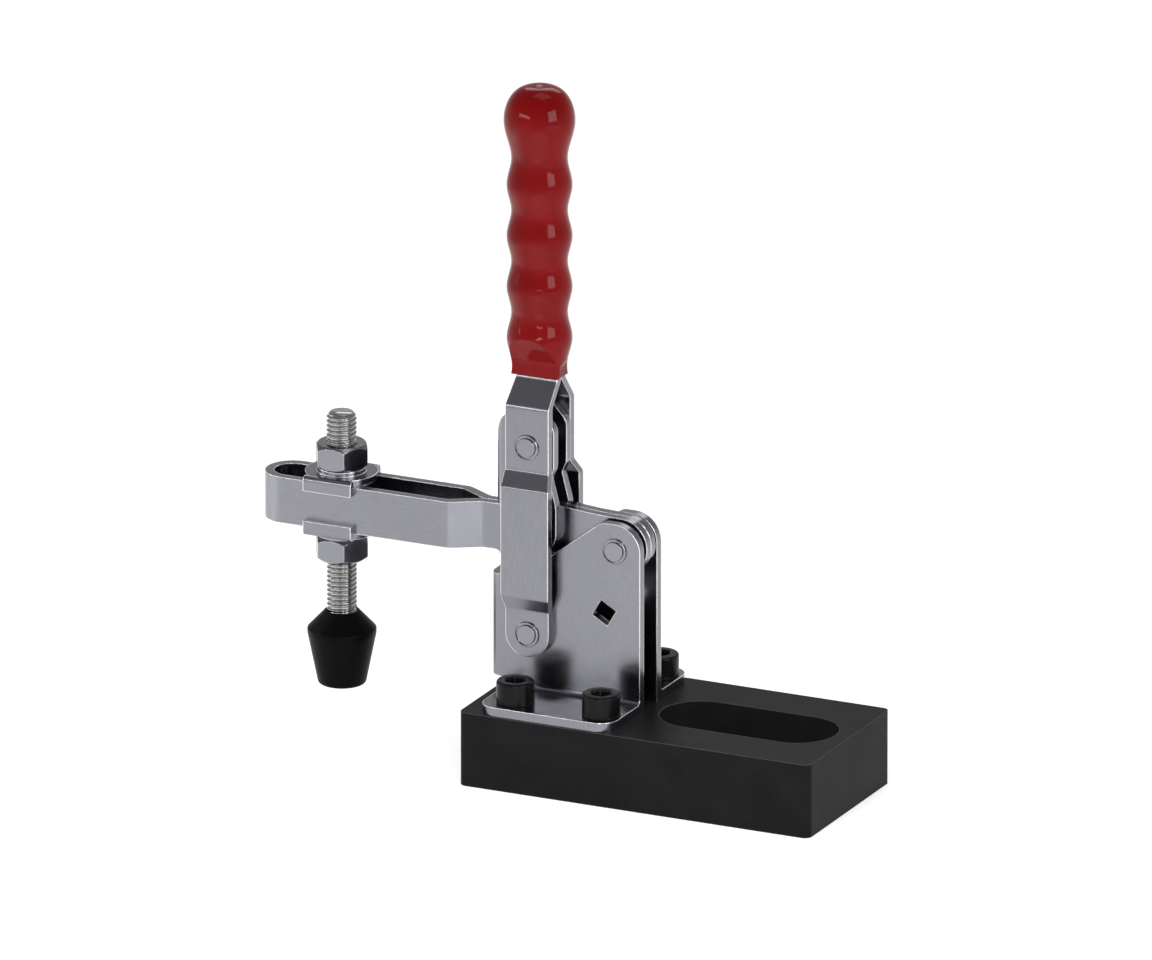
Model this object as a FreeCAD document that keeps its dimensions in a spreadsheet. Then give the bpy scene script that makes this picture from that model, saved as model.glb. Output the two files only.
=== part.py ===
import FreeCAD, Part
import math
import os
from FreeCAD import Vector

# Toggle clamp with an upright handle, bolted to a slotted mounting block.
# X runs from the clamping spindle towards the slotted end, Z is up, and the
# clamp is symmetric about the plane Y = 0. The origin is the centre of the
# block's underside. All sizes are in millimetres.
SIZES = {
    # mounting block
    "block_length": 100.0,
    "block_width": 50.0,
    "block_height": 20.0,
    "block_corner": 2.0,
    "slot_half_width": 10.9,
    "slot_centres": 27.3,
    "slot_from_end": 28.6,
    # pressed base
    "base_sheet": 2.5,
    "base_outer": 12.9,
    "base_length": 43.2,
    "base_bend": 3.4,
    "web_height": 32.4,
    "web_notch": 4.6,
    "web_round": 1.0,
    "notch_round": 1.5,
    "base_fillet": 1.2,
    "flange_inset": 5.0,
    "flange_margin": 0.3,
    "flange_corner": 5.0,
    "shoulder_along": 16.0,
    "shoulder_up": 38.0,
    "shoulder_round": 6.0,
    "drain_side": 5.0,
    "drain_turn": 30.0,
    "drain_along": 33.0,
    "drain_up": 26.1,
    # fixing screws
    "screw_head_radius": 5.0,
    "screw_head_height": 6.0,
    "screw_shank_radius": 3.0,
    "screw_length": 19.0,
    "screw_hole_radius": 3.3,
    "screw_first": 13.0,
    "screw_pitch": 24.5,
    "screw_side": 17.8,
    "socket_flats": 5.0,
    "socket_depth": 3.0,
    # the four pivots, from the block's left end and its top
    "low_along": 12.1,
    "low_up": 18.0,
    "high_along": 11.5,
    "high_up": 68.5,
    "mid_along": 12.6,
    "mid_up": 45.0,
    "rear_along": 35.9,
    "rear_up": 43.3,
    "pin_radius": 3.0,
    "pin_head_radius": 3.4,
    "pin_head": 0.6,
    "pin_play": 0.05,
    "side_play": 0.1,
    # work-holding bar, folded from one strip
    "bar_sheet": 2.4,
    "bar_seam": 0.3,
    "bar_outer": 14.5,
    "bar_end": 59.3,
    "bar_bend_start": 11.5,
    "bar_bend_end": 3.7,
    "bar_wide_round": 4.0,
    "bar_thin_round": 3.0,
    "bar_inner_round": 1.6,
    "bar_depth": 12.5,
    "bar_up": 37.6,
    "bar_eye": 7.5,
    "bar_hump": 2.3,
    "bar_hump_start": 6.0,
    "bar_hump_along": 14.0,
    "bar_hump_round": 4.0,
    "bar_step_along": 1.2,
    "bar_step_run": 0.8,
    "bar_step_down": 3.4,
    "bar_step_round": 1.5,
    # toggle links
    "link_sheet": 2.5,
    "link_edge": 1.2,
    "link_step": 0.6,
    "link_eye": 6.0,
    "link_top": 10.0,
    "link_round": 2.1,
    # handle plates
    "plate_sheet": 2.45,
    "plate_inner": 5.4,
    "plate_bulge": 8.3,
    "plate_left": 5.4,
    "plate_width": 13.5,
    "plate_lug": 6.15,
    "plate_taper": 1.2,
    "plate_corner": 2.0,
    "plate_bend": 1.0,
    "flare_bend": 2.0,
    "flare_bottom": 79.3,
    "flare_top": 85.8,
    "tang_top": 112.0,
    "joggle_high": 61.9,
    "joggle_mid": 57.9,
    "joggle_low": 28.3,
    "joggle_end": 24.5,
    # grip
    "grip_bottom": 86.5,
    "grip_wide": 13.6,
    "grip_deep": 7.2,
    "grip_foot_deep": 4.0,
    "grip_foot_wide": 3.0,
    "grip_foot_round": 3.0,
    "grip_rise_deep": 8.0,
    "grip_rise_wide": 4.0,
    "grip_crown": 2.2,
    "grip_neck": 7.35,
    "grip_bulge": 8.55,
    "grip_first": 96.4,
    "grip_pitch": 13.75,
    "grip_knob": 9.3,
    "grip_knob_up": 154.7,
    "grip_top": 164.2,
    # spindle
    "spindle_along": 45.3,
    "spindle_radius": 4.0,
    "spindle_top": 67.9,
    "spindle_chamfer": 0.8,
    "nut_flats": 13.0,
    "nut_height": 6.5,
    "nut_cone": 3.4,
    "nut_turn": 8.0,
    "washer_radius": 9.5,
    "washer_sheet": 1.8,
    "collar_radius": 6.4,
    "collar_height": 1.2,
    "tab_width": 13.7,
    "tab_height": 4.0,
    "tip_bottom": -6.2,
    "tip_height": 20.0,
    "tip_radius": 9.0,
    "tip_foot": 6.2,
    "tip_neck": 4.4,
    "tip_cone": 4.9,
    "tip_band": 1.2,
    "tip_cover": 6.0,
    "spindle_play": 0.05,
}
# Named sizes that follow from others
FOLLOWING = {
    "flange_width": "=block_width - 2 * flange_margin",
    "tang_width": "=plate_width - 1.5 * plate_taper",
}

doc = FreeCAD.newDocument("toggle_clamp")
sheet = doc.addObject("Spreadsheet::Sheet", "sizes")
for row, (alias, value) in enumerate((SIZES | FOLLOWING).items(), start=1):
    sheet.set(f"A{row}", alias)
    sheet.set(f"B{row}", str(value))
    sheet.setAlias(f"B{row}", alias)
doc.recompute()


def size(alias):
    """Read one named size from the sheet."""
    return float(sheet.get(alias))


# Derived places that several pieces share
LEFT = -size("block_length") / 2
DECK = size("block_height")
BASE_HALF = size("base_outer") / 2
BASE_GAP = BASE_HALF - size("base_sheet")
BAR_HALF = size("bar_sheet") + size("bar_seam") / 2
LINK_INNER = BAR_HALF + size("side_play")
LINK_OUTER = LINK_INNER + size("link_sheet")
LUG_INNER = BASE_HALF + size("side_play")
BAR_LOW = DECK + size("bar_up")
BAR_HIGH = BAR_LOW + size("bar_depth")
SPINDLE_X = LEFT - size("spindle_along")
WIDE = 200.0


def pivot(name):
    """Return X and Z of one of the four pivots."""
    return LEFT + size(name + "_along"), DECK + size(name + "_up")


LOW = pivot("low")
HIGH = pivot("high")
MID = pivot("mid")
REAR = pivot("rear")


def rounded_outline(points, place):
    """Close a polygon of (u, v, radius) corners with tangent arcs, mapped to space by place."""
    starts, ends, mids = [], [], []
    count = len(points)
    for index, (u, v, radius) in enumerate(points):
        before = points[index - 1]
        after = points[(index + 1) % count]
        here = Vector(u, v, 0)
        back = (Vector(before[0], before[1], 0) - here).normalize()
        ahead = (Vector(after[0], after[1], 0) - here).normalize()
        if radius == 0:
            starts.append(here)
            ends.append(here)
            mids.append(here)
            continue
        half = back.getAngle(ahead) / 2
        reach = radius / math.tan(half)
        centre = here + (back + ahead).normalize() * (radius / math.sin(half))
        starts.append(here + back * reach)
        ends.append(here + ahead * reach)
        mids.append(centre + (here - centre).normalize() * radius)
    edges = []
    for index in range(count):
        following = (index + 1) % count
        if points[index][2] > 0:
            edges.append(Part.Arc(place(starts[index]), place(mids[index]), place(ends[index])).toShape())
        if (ends[index] - starts[following]).Length > 1e-6:
            edges.append(Part.LineSegment(place(ends[index]), place(starts[following])).toShape())
    return Part.Face(Part.Wire(edges))


def side_profile(points, near=-WIDE, far=WIDE):
    """Extrude an outline drawn in the XZ plane along Y."""
    face = rounded_outline(points, lambda p: Vector(p.x, near, p.y))
    return face.extrude(Vector(0, far - near, 0))


def plan_profile(points, bottom, top):
    """Extrude an outline drawn in the XY plane along Z."""
    face = rounded_outline(points, lambda p: Vector(p.x, p.y, bottom))
    return face.extrude(Vector(0, 0, top - bottom))


def section_profile(points, left, right):
    """Extrude an outline drawn in the YZ plane along X."""
    face = rounded_outline(points, lambda p: Vector(left, p.x, p.y))
    return face.extrude(Vector(right - left, 0, 0))


def cross_pin(spot, radius, half_length):
    """A cylinder along Y through one pivot, centred on Y = 0."""
    start = Vector(spot[0], -half_length, spot[1])
    return Part.makeCylinder(radius, 2 * half_length, start, Vector(0, 1, 0))


def mirror_side(shape):
    """Mirror a piece from the front side of the clamp to the rear side."""
    return shape.mirror(Vector(0, 0, 0), Vector(0, 1, 0))


def keep(name, shape):
    """Store one piece as an object of the document."""
    piece = doc.addObject("Part::Feature", name)
    piece.Label = name
    piece.Shape = shape
    piece.Placement = FreeCAD.Placement()
    return piece


def bind(target, **expressions):
    """Bind properties of an object to expressions on the sheet."""
    for prop, expression in expressions.items():
        target.setExpression(prop.replace("__", "."), expression)


def primitive(kind, name, **expressions):
    """Add a Part primitive whose sizes follow the sheet."""
    solid = doc.addObject("Part::" + kind, name)
    bind(solid, **expressions)
    return solid


def joined(kind, name, base, tool):
    """Cut, fuse or intersect two objects of the document."""
    result = doc.addObject("Part::" + kind, name)
    result.Base = base
    result.Tool = tool
    return result


def fused(name, shapes):
    """Fuse several objects of the document."""
    result = doc.addObject("Part::MultiFuse", name)
    result.Shapes = shapes
    return result


def lay_along_y(solid, along, up, half_length):
    """Turn a primitive's axis from Z to Y and centre it on the clamp's plane."""
    solid.Placement = FreeCAD.Placement(Vector(), FreeCAD.Rotation(Vector(1, 0, 0), -90))
    bind(
        solid,
        Placement__Base__x=f"{along} - sizes.block_length / 2",
        Placement__Base__y=f"-({half_length})",
        Placement__Base__z=f"sizes.block_height + {up}",
    )


# Mounting block with its obround slot and four screw holes
def screw_spots():
    """X and Y of the four fixing screws as sheet expressions."""
    for step in (0, 1):
        for side in (-1, 1):
            along = f"sizes.screw_first + {step} * sizes.screw_pitch - sizes.block_length / 2"
            yield along, f"{side} * sizes.screw_side"


def make_block():
    """The block: a box with rounded upright edges, less its slot and screw holes."""
    half_long, half_wide = size("block_length") / 2, size("block_width") / 2
    corner = size("block_corner")
    corners = ((-1, -1), (1, -1), (1, 1), (-1, 1))
    outline = [(sx * half_long, sy * half_wide, corner) for sx, sy in corners]
    body = doc.addObject("Part::Feature", "block_body")
    body.Shape = plan_profile(outline, 0, DECK)
    slot_x = "sizes.block_length / 2 - sizes.slot_from_end"
    middle = primitive(
        "Box",
        "slot_middle",
        Length="sizes.slot_centres",
        Width="2 * sizes.slot_half_width",
        Height="sizes.block_height",
        Placement__Base__x=f"{slot_x} - sizes.slot_centres / 2",
        Placement__Base__y="-sizes.slot_half_width",
    )
    tools = [middle]
    for name, sign in (("slot_left", "-"), ("slot_right", "+")):
        end = primitive(
            "Cylinder",
            name,
            Radius="sizes.slot_half_width",
            Height="sizes.block_height",
            Placement__Base__x=f"{slot_x} {sign} sizes.slot_centres / 2",
        )
        tools.append(end)
    for index, (along, across) in enumerate(screw_spots()):
        tools.append(
            primitive(
                "Cylinder",
                f"block_hole_{index}",
                Radius="sizes.screw_shank_radius + sizes.pin_play",
                Height="sizes.screw_length",
                Placement__Base__x=along,
                Placement__Base__y=across,
                Placement__Base__z="sizes.block_height + sizes.base_sheet - sizes.screw_length - sizes.pin_play",
            )
        )
    return joined("Cut", "base_block", body, fused("block_cuts", tools))


# Pressed base: two side plates joined by a front web, with flanges turned outward
def make_base():
    """The base channel as one folded sheet."""
    sheet_t = size("base_sheet")
    right = LEFT + size("base_length")
    notch = LEFT + size("flange_inset")
    eye = right - REAR[0]
    top = REAR[1] + eye
    outer = [
        (LEFT, -BASE_HALF, size("base_bend")),
        (right + eye, -BASE_HALF, 0),
        (right + eye, BASE_HALF, 0),
        (LEFT, BASE_HALF, size("base_bend")),
    ]
    inner_bend = size("base_bend") - sheet_t
    inner = [
        (LEFT + sheet_t, -BASE_GAP, inner_bend),
        (right + 2 * eye, -BASE_GAP, 0),
        (right + 2 * eye, BASE_GAP, 0),
        (LEFT + sheet_t, BASE_GAP, inner_bend),
    ]
    channel = plan_profile(outer, DECK, top).cut(plan_profile(inner, DECK, top))
    web_top = DECK + size("web_height")
    side = [
        (LEFT - 1, DECK + size("web_notch"), 0),
        (LEFT - 1, web_top, 0),
        (LEFT + sheet_t, web_top, size("web_round")),
        (LEFT + size("shoulder_along"), DECK + size("shoulder_up"), size("shoulder_round")),
        (REAR[0] - eye / 2, top, eye / 2),
        (right, top, eye - 0.01),
        (right, DECK, 0),
        (notch, DECK, 0),
        (notch, DECK + size("web_notch"), size("notch_round")),
    ]
    channel = channel.common(side_profile(side))
    half_wide = size("flange_width") / 2
    flange_corner = size("flange_corner")
    flange = [
        (notch, -half_wide, flange_corner),
        (right, -half_wide, flange_corner),
        (right, half_wide, flange_corner),
        (notch, half_wide, flange_corner),
    ]
    flanges = plan_profile(flange, DECK, DECK + sheet_t)
    flanges = flanges.cut(plan_profile(inner, DECK, DECK + sheet_t))
    gap = Part.makeBox(WIDE, 2 * BASE_GAP, WIDE, Vector(LEFT - 1, -BASE_GAP, DECK - 1))
    flanges = flanges.cut(gap)
    base = channel.fuse(flanges).removeSplitter()
    bends = [edge for edge in base.Edges if is_bend(edge, sheet_t)]
    base = base.makeFillet(size("base_fillet"), bends)
    for step in (0, 1):
        for sign in (-1, 1):
            spot = LEFT + size("screw_first") + step * size("screw_pitch")
            start = Vector(spot, sign * size("screw_side"), DECK - 1)
            base = base.cut(Part.makeCylinder(size("screw_hole_radius"), sheet_t + 2, start))
    hole = size("pin_radius") + size("pin_play")
    for spot in (LOW, REAR):
        base = base.cut(cross_pin(spot, hole, BASE_HALF + 1))
    side_of_hole = size("drain_side")
    drain = Part.makeBox(side_of_hole, WIDE, side_of_hole, Vector(-side_of_hole / 2, -WIDE / 2, -side_of_hole / 2))
    drain.rotate(Vector(), Vector(0, 1, 0), size("drain_turn"))
    drain.translate(Vector(LEFT + size("drain_along"), 0, DECK + size("drain_up")))
    return keep("base_channel", base.cut(drain))


def is_bend(edge, sheet_t):
    """True for the long edges along X where a side plate meets its flange."""
    box = edge.BoundBox
    straight = box.YLength < 0.01 and box.ZLength < 0.01 and box.XLength > size("base_length") / 2
    inside = abs(abs(box.YMin) - BASE_HALF) < 0.01 and abs(box.ZMin - DECK - sheet_t) < 0.01
    return straight and inside


# Fixing screws: socket heads on the flanges, shanks down into the block
def make_screws():
    """Four separate screws in one compound."""
    screws = []
    for index, (along, across) in enumerate(screw_spots()):
        spot = {"Placement__Base__x": along, "Placement__Base__y": across}
        seat = "sizes.block_height + sizes.base_sheet"
        head = primitive(
            "Cylinder",
            f"screw_head_{index}",
            Radius="sizes.screw_head_radius",
            Height="sizes.screw_head_height",
            Placement__Base__z=seat,
            **spot,
        )
        shank = primitive(
            "Cylinder",
            f"screw_shank_{index}",
            Radius="sizes.screw_shank_radius",
            Height="sizes.screw_length",
            Placement__Base__z=f"{seat} - sizes.screw_length",
            **spot,
        )
        socket = primitive(
            "Prism",
            f"screw_socket_{index}",
            Circumradius="sizes.socket_flats / sqrt(3)",
            Height="sizes.socket_depth",
            Placement__Base__z=f"{seat} + sizes.screw_head_height - sizes.socket_depth",
            **spot,
        )
        whole = fused(f"screw_blank_{index}", [head, shank])
        screws.append(joined("Cut", f"screw_{index}", whole, socket))
    group = doc.addObject("Part::Compound", "cap_screws")
    group.Links = screws
    return group


# Handle plates: a joggled strap on each side, both clamped inside the grip
def make_plate():
    """The front handle plate."""
    t = size("plate_sheet")
    bulge, upper = size("plate_bulge"), size("plate_inner")
    flare, joggle = size("flare_bend"), size("plate_bend")
    levels = [
        (0.0, size("tang_top"), 0.0),
        (0.0, size("flare_top"), flare),
        (upper, size("flare_bottom"), flare),
        (upper, size("joggle_high"), joggle),
        (bulge, size("joggle_mid"), joggle),
        (bulge, size("joggle_low"), joggle),
        (LUG_INNER, size("joggle_end"), joggle),
        (LUG_INNER, size("low_up") - size("plate_lug") - 1, 0.0),
    ]
    inner = [(-offset, DECK + up, bend) for offset, up, bend in levels]
    outer = [(-offset - t, DECK + up, bend) for offset, up, bend in reversed(levels)]
    left = LEFT + size("plate_left")
    right = left + size("plate_width")
    strap = section_profile(inner + outer, left - 1, right + 1)
    lug = size("plate_lug")
    narrow, corner = size("plate_taper"), size("plate_corner")
    outline = [
        (LOW[0] - lug, LOW[1] - lug, lug - 0.01),
        (LOW[0] - lug, DECK + size("joggle_end"), corner),
        (left, DECK + size("joggle_low"), corner),
        (left, DECK + size("flare_bottom"), corner),
        (left + narrow / 2, DECK + size("flare_top"), corner),
        (left + narrow / 2, DECK + size("tang_top"), corner / 2),
        (right - narrow, DECK + size("tang_top"), corner / 2),
        (right - narrow, DECK + size("joggle_high"), corner),
        (right, DECK + size("joggle_mid"), corner),
        (right, DECK + size("joggle_low"), corner),
        (LOW[0] + lug, DECK + size("joggle_end"), corner),
        (LOW[0] + lug, LOW[1] - lug, lug - 0.01),
    ]
    plate = strap.common(side_profile(outline))
    hole = size("pin_radius") + size("pin_play")
    for spot in (LOW, HIGH):
        plate = plate.cut(cross_pin(spot, hole, WIDE / 2))
    return plate


# Grip: four finger bulges under a knob, flattened where the straps enter
def make_grip():
    """The moulded grip with its pocket for the straps."""
    axis_x = LEFT + size("high_along")
    neck, bulge = size("grip_neck"), size("grip_bulge")
    first, pitch = size("grip_first"), size("grip_pitch")
    bottom, top = size("grip_bottom"), size("grip_top")
    knob, knob_up = size("grip_knob"), size("grip_knob_up")
    rings = [(neck, bottom), (neck, first - pitch / 2 + 1)]
    for index in range(4):
        rings.append((bulge, first + index * pitch))
        rings.append((neck, first + (index + 0.5) * pitch))
    rings += [(knob, knob_up), (knob - size("grip_crown"), top - size("grip_crown"))]
    side = Part.BSplineCurve()
    side.interpolate(
        Points=[Vector(axis_x + radius, 0, DECK + up) for radius, up in rings] + [Vector(axis_x, 0, DECK + top)],
    )
    foot, crown = Vector(axis_x, 0, DECK + bottom), Vector(axis_x, 0, DECK + top)
    rim = Vector(axis_x + neck, 0, DECK + bottom)
    edges = [side.toShape(), Part.LineSegment(crown, foot).toShape(), Part.LineSegment(foot, rim).toShape()]
    turned = Part.Face(Part.Wire(Part.__sortEdges__(edges))).revolve(foot, Vector(0, 0, 1), 360)
    half_wide, half_deep = size("grip_wide") / 2, size("grip_deep") / 2
    rise = first - pitch / 4
    foot_deep, foot_wide, foot_round = size("grip_foot_deep"), size("grip_foot_wide"), size("grip_foot_round")
    rise_deep, rise_wide = rise + size("grip_rise_deep"), rise + size("grip_rise_wide")
    deep = [
        (-half_deep, DECK + bottom, 0),
        (half_deep, DECK + bottom, 0),
        (half_deep, DECK + bottom + foot_deep, foot_round),
        (knob + 1, DECK + rise_deep, 0),
        (knob + 1, DECK + top + 1, 0),
        (-knob - 1, DECK + top + 1, 0),
        (-knob - 1, DECK + rise_deep, 0),
        (-half_deep, DECK + bottom + foot_deep, foot_round),
    ]
    wide = [
        (axis_x - half_wide, DECK + bottom, 0),
        (axis_x + half_wide, DECK + bottom, 0),
        (axis_x + half_wide, DECK + bottom + foot_wide, foot_round),
        (axis_x + knob + 1, DECK + rise_wide, 0),
        (axis_x + knob + 1, DECK + top + 1, 0),
        (axis_x - knob - 1, DECK + top + 1, 0),
        (axis_x - knob - 1, DECK + rise_wide, 0),
        (axis_x - half_wide, DECK + bottom + foot_wide, foot_round),
    ]
    grip = turned.common(section_profile(deep, axis_x - WIDE, axis_x + WIDE)).common(side_profile(wide))
    play = size("pin_play")
    t = size("plate_sheet")
    pocket_left = LEFT + size("plate_left") + size("plate_taper") / 2 - play
    pocket = Part.makeBox(
        size("tang_width") + 2 * play,
        2 * (t + play),
        size("tang_top") - bottom + 1 + play,
        Vector(pocket_left, -t - play, DECK + bottom - 1),
    )
    return keep("handle_grip", grip.cut(pocket))


# Work-holding bar: one strip folded into a long loop, its legs brought together at the neck
def make_bar():
    """The bar as one folded strip, open along its seam."""
    half, t = size("bar_outer") / 2, size("bar_sheet")
    end = LEFT - size("bar_end") - half
    wide_x, thin_x = LEFT - size("bar_bend_start"), LEFT - size("bar_bend_end")
    tail = REAR[0] + size("bar_eye")
    seam = size("bar_seam") / 2
    wide_round, thin_round, inner_round = size("bar_wide_round"), size("bar_thin_round"), size("bar_inner_round")
    outer = [
        (end, -half, half - 0.01),
        (wide_x, -half, wide_round),
        (thin_x, -BAR_HALF, thin_round),
        (tail + 1, -BAR_HALF, 0),
        (tail + 1, BAR_HALF, 0),
        (thin_x, BAR_HALF, thin_round),
        (wide_x, half, wide_round),
        (end, half, half - 0.01),
    ]
    slot = half - t
    inner = [
        (end + t, -slot, slot - 0.01),
        (wide_x - t / 2, -slot, inner_round),
        (thin_x - t / 2, -seam, 0),
        (tail + 2, -seam, 0),
        (tail + 2, seam, 0),
        (thin_x - t / 2, seam, 0),
        (wide_x - t / 2, slot, inner_round),
        (end + t, slot, slot - 0.01),
    ]
    low, high = DECK, BAR_HIGH + 10
    strip = plan_profile(outer, low, high).cut(plan_profile(inner, low, high))
    eye, hump, hump_round = size("bar_eye"), size("bar_hump"), size("bar_hump_round")
    step_x = LEFT + size("bar_step_along")
    outline = [
        (end - 1, BAR_LOW, 0),
        (step_x, BAR_LOW, size("bar_step_round")),
        (step_x + size("bar_step_run"), BAR_LOW - size("bar_step_down"), 2.0),
        (REAR[0] - eye, REAR[1] - eye, 2.0),
        (tail, REAR[1] - eye, eye - 0.01),
        (tail, REAR[1] + eye, eye - 0.01),
        (REAR[0] - eye, BAR_HIGH + hump / 2, hump_round),
        (LEFT + size("bar_hump_along"), BAR_HIGH + hump, hump_round),
        (LEFT + size("bar_hump_start"), BAR_HIGH, 1.5 * hump_round),
        (end - 1, BAR_HIGH, 0),
    ]
    bar = strip.common(side_profile(outline))
    hole = size("pin_radius") + size("pin_play")
    for spot in (MID, REAR):
        bar = bar.cut(cross_pin(spot, hole, WIDE / 2))
    return keep("u_bar", bar)


# Toggle links between the handle and the bar
def make_link():
    """The front link, with its thick rounded left edge."""
    eye, high_eye = size("link_eye"), size("link_eye") + 0.5
    edge = LEFT + size("link_edge")
    step = size("link_step")
    outline = [
        (edge, MID[1] + eye + 0.5, 1.2),
        (edge, HIGH[1] - 0.5, 0.3),
        (edge + step, HIGH[1] - 0.5, 0.2),
        (edge + step, HIGH[1] + size("link_top"), 8.2),
        (HIGH[0] + 2, HIGH[1] + size("link_top"), 4.0),
        (HIGH[0] + high_eye, HIGH[1] + 5, 4.0),
        (HIGH[0] + high_eye, HIGH[1] - 6, 4.0),
        (HIGH[0] + high_eye - 1.3, HIGH[1] - 9, 2.0),
        (MID[0] + eye, MID[1] + 7, 3.0),
        (MID[0] + eye, MID[1] - eye, eye - 0.01),
        (MID[0] - eye, MID[1] - eye, eye - 0.01),
        (MID[0] - eye, MID[1] + eye + 0.5, 1.0),
    ]
    link = side_profile(outline, -LINK_OUTER, -LINK_INNER)
    plan = [
        (edge, -LINK_OUTER, size("link_round")),
        (edge + WIDE, -LINK_OUTER, 0),
        (edge + WIDE, -LINK_INNER, 0),
        (edge, -LINK_INNER, 0),
    ]
    link = link.common(plan_profile(plan, DECK, DECK + WIDE))
    hole = size("pin_radius") + size("pin_play")
    for spot in (MID, HIGH):
        link = link.cut(cross_pin(spot, hole, WIDE / 2))
    return link


# Rivets, each a shank along Y with a low round head at each end
def make_rivet(name, spot, half_length):
    """A rivet through one pivot; half_length is an expression to its heads' undersides."""
    along, up = f"sizes.{spot}_along", f"sizes.{spot}_up"
    shank = primitive("Cylinder", name + "_shank", Radius="sizes.pin_radius", Height=f"2 * ({half_length})")
    lay_along_y(shank, along, up, half_length)
    heads = []
    for side in (-1, 1):
        end = "front" if side < 0 else "rear"
        head = primitive(
            "Cylinder",
            f"{name}_{end}",
            Radius="sizes.pin_head_radius",
            Height="sizes.pin_head",
        )
        start = f"{half_length} + sizes.pin_head" if side < 0 else f"-({half_length})"
        lay_along_y(head, along, up, start)
        heads.append(head)
    return fused(name, [shank] + heads)


def make_link_pin():
    """The plain pin in the bar's eye, short of the links on both sides."""
    length = "sizes.bar_sheet + sizes.bar_seam / 2 + sizes.side_play / 2"
    pin = primitive("Cylinder", "link_pivot", Radius="sizes.pin_radius", Height=f"2 * ({length})")
    lay_along_y(pin, "sizes.mid_along", "sizes.mid_up", length)
    return pin


def make_spacers():
    """Two rings that centre the bar between the base plates."""
    rings = []
    half_bar = "(sizes.bar_sheet + sizes.bar_seam / 2)"
    thick = f"sizes.base_outer / 2 - sizes.base_sheet - {half_bar} - 2 * sizes.pin_play"
    for name, start in (
        ("front", f"{half_bar} + sizes.pin_play + {thick}"),
        ("rear", f"-({half_bar} + sizes.pin_play)"),
    ):
        disc = primitive("Cylinder", f"spacer_disc_{name}", Radius="2 * sizes.pin_radius", Height=thick)
        bore = primitive(
            "Cylinder", f"spacer_bore_{name}", Radius="sizes.pin_radius + sizes.pin_play", Height=thick
        )
        for solid in (disc, bore):
            lay_along_y(solid, "sizes.rear_along", "sizes.rear_up", start)
        rings.append(joined("Cut", f"spacer_{name}", disc, bore))
    group = doc.addObject("Part::Compound", "bar_spacers")
    group.Links = rings
    return group


# Clamping spindle with its nuts, saddle washers and rubber tip
SPINDLE_SPOT = {"Placement__Base__x": "-sizes.block_length / 2 - sizes.spindle_along"}


def make_spindle():
    """The threaded rod, chamfered at its top and buried in the tip."""
    low = "sizes.block_height + sizes.spindle_top"
    foot = "sizes.block_height + sizes.tip_bottom + sizes.tip_height - sizes.tip_cover"
    rod = primitive(
        "Cylinder",
        "spindle_rod",
        Radius="sizes.spindle_radius",
        Height=f"{low} - sizes.spindle_chamfer - ({foot})",
        Placement__Base__z=foot,
        **SPINDLE_SPOT,
    )
    point = primitive(
        "Cone",
        "spindle_point",
        Radius1="sizes.spindle_radius",
        Radius2="sizes.spindle_radius - sizes.spindle_chamfer",
        Height="sizes.spindle_chamfer",
        Placement__Base__z=f"{low} - sizes.spindle_chamfer",
        **SPINDLE_SPOT,
    )
    return fused("spindle", [rod, point])


def make_nut(name, bottom):
    """A hexagon nut with chamfered corners; bottom is an expression."""
    prism = primitive(
        "Prism",
        name + "_prism",
        Circumradius="sizes.nut_flats / sqrt(3)",
        Height="sizes.nut_height",
        Placement__Base__z=bottom,
        **SPINDLE_SPOT,
    )
    turn = FreeCAD.Rotation(Vector(0, 0, 1), size("nut_turn"))
    prism.Placement = FreeCAD.Placement(prism.Placement.Base, turn)
    barrel = primitive(
        "Cone",
        name + "_barrel",
        Radius1="sizes.nut_flats / 2 + sizes.nut_cone",
        Radius2="sizes.nut_flats / 2",
        Height="sizes.nut_height + 0.01",
        Placement__Base__z=bottom,
        **SPINDLE_SPOT,
    )
    lower = primitive(
        "Cone",
        name + "_chamfer",
        Radius1="sizes.nut_flats / 2",
        Radius2="sizes.nut_flats / 2 + sizes.nut_cone",
        Height="sizes.nut_height + 0.01",
        Placement__Base__z=bottom,
        **SPINDLE_SPOT,
    )
    bore = primitive(
        "Cylinder",
        name + "_bore",
        Radius="sizes.spindle_radius + sizes.spindle_play",
        Height="sizes.nut_height",
        Placement__Base__z=bottom,
        **SPINDLE_SPOT,
    )
    shaped = doc.addObject("Part::MultiCommon", name + "_shaped")
    shaped.Shapes = [prism, fused(name + "_cone", [barrel, lower])]
    return joined("Cut", name, shaped, bore)


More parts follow.
